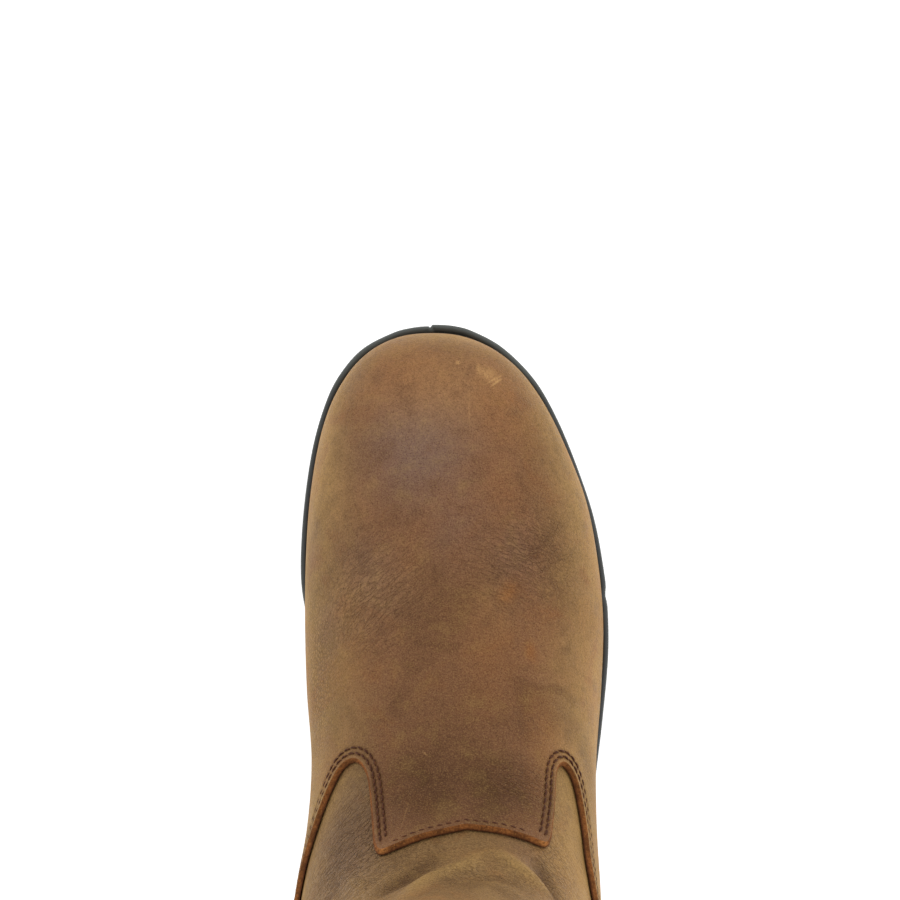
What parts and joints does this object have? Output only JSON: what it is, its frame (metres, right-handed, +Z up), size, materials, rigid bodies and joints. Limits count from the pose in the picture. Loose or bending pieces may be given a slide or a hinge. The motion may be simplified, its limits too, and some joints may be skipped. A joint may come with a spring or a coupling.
{
  "type": "pull-on work boot",
  "caption": "Right pull-on leather work boot: hollow shafted upper, raw-edged vamp with a tab on the instep, and a moulded lugged rubber sole with a low heel.",
  "frame": {"origin": "on the floor under the middle of the boot's box", "axes": "+Y towards the toe, +X towards the outer side of the right foot, +Z up"},
  "size_m": [0.11, 0.3064, 0.2853],
  "materials": {
    "sole_rubber": "matt moulded black rubber",
    "insole_fabric": "dark brushed fabric footbed",
    "upper_leather": "waxed brown leather",
    "vamp_leather": "waxed brown leather with raw orange-brown edges"
  },
  "bodies": {
    "root": {"sole": "sole_rubber", "insole": "insole_fabric", "upper": "upper_leather", "vamp": "vamp_leather"}
  },
  "joints": []
}
